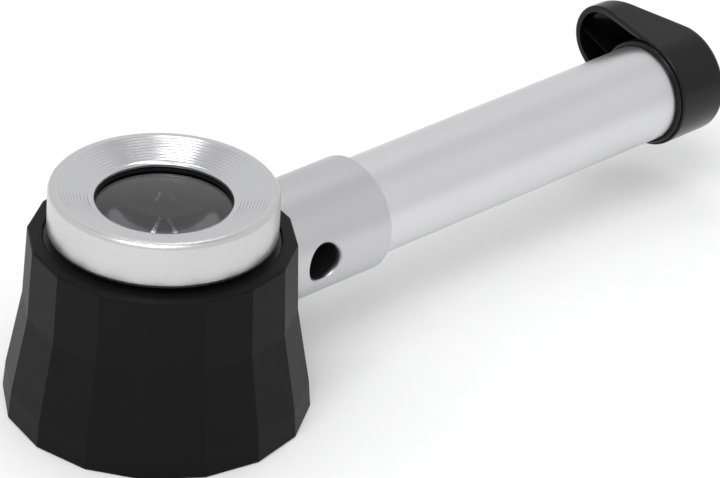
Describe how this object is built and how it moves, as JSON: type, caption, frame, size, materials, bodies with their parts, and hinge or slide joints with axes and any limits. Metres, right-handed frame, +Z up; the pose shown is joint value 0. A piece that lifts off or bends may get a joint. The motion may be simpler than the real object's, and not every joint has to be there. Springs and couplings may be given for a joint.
{
  "type": "illuminated stand magnifier",
  "caption": "LED stand magnifier: two-lens focusing eyepiece in a faceted black head on an aluminium battery handle with a screw tail cap.",
  "frame": {"origin": "centre of the base opening, on the plane the head stands on, where the optical axis meets it", "axes": "+Z up along the optical axis, +X along the handle from the head to the tail cap, +Y completes a right-handed frame"},
  "size_m": [0.1561, 0.053, 0.0412],
  "materials": {
    "head_plastic": "satin black moulding with a fine spark texture",
    "ring_aluminium": "satin anodised, turned face",
    "sleeve_aluminium": "satin anodised",
    "tube_aluminium": "satin anodised",
    "black_anodised": "matt black anodised",
    "lens_glass": "polished, coated",
    "clear_window": "clear",
    "cap_plastic": "gloss black moulding",
    "liner_plastic": "plain black",
    "contact_brass": "bright",
    "steel": "plain",
    "seal_rubber": "plain",
    "circuit_board": "green solder mask",
    "led_body": "phosphor yellow",
    "chip_plastic": "moulded",
    "red_wire": "insulation",
    "black_wire": "insulation",
    "battery_jacket": "plain printed film"
  },
  "bodies": {
    "housing": {"skirt": "head_plastic", "focus_barrel": "black_anodised", "barrel_clip": "steel", "focus_oring": "seal_rubber", "guide_pin": "steel", "neck_sleeve": "sleeve_aluminium", "sleeve_screw": "steel", "tube_screw": "steel", "led_window": "clear_window", "led_board": "circuit_board", "led": "led_body", "wire_positive": "red_wire", "wire_negative": "black_wire", "driver_board": "circuit_board", "driver_chip": "chip_plastic", "front_contact": "contact_brass", "handle_tube": "tube_aluminium", "tail_oring": "seal_rubber", "battery_liner": "liner_plastic", "cell_front": "battery_jacket", "cell_rear": "battery_jacket"},
    "lens_carrier": {"lens_cell": "black_anodised", "upper_lens": "lens_glass", "lens_spacer": "black_anodised", "lower_lens": "lens_glass", "lens_retainer": "black_anodised"},
    "focus_ring": {"focus_ring": "ring_aluminium", "carrier_clip": "steel"},
    "tail_contact": {"tail_contact": "contact_brass", "tail_spring": "steel"},
    "tail_cap": {"tail_cap": "cap_plastic", "cap_insert": "contact_brass"}
  },
  "joints": [
    {"name": "focus_lift", "type": "slide", "parent": "housing", "child": "lens_carrier", "axis": [0, 0, 1], "range_m": [0, 0.0012]},
    {"name": "focus_turn", "type": "hinge", "parent": "lens_carrier", "child": "focus_ring", "pos_m": [0, 0, 0.0355], "axis": [0, 0, 1], "range_deg": [0, 216]},
    {"name": "cap_travel", "type": "slide", "parent": "housing", "child": "tail_contact", "axis": [1, 0, 0], "range_m": [0, 0.0035]},
    {"name": "cap_turn", "type": "hinge", "parent": "tail_contact", "child": "tail_cap", "pos_m": [0.1225, 0, 0.0211], "axis": [1, 0, 0], "range_deg": [0, 1260]}
  ],
  "couplings": [
    {"joint": "focus_lift", "follows": "focus_turn", "m_per_rad": 0.0003183},
    {"joint": "cap_travel", "follows": "cap_turn", "m_per_rad": 0.00015915}
  ]
}
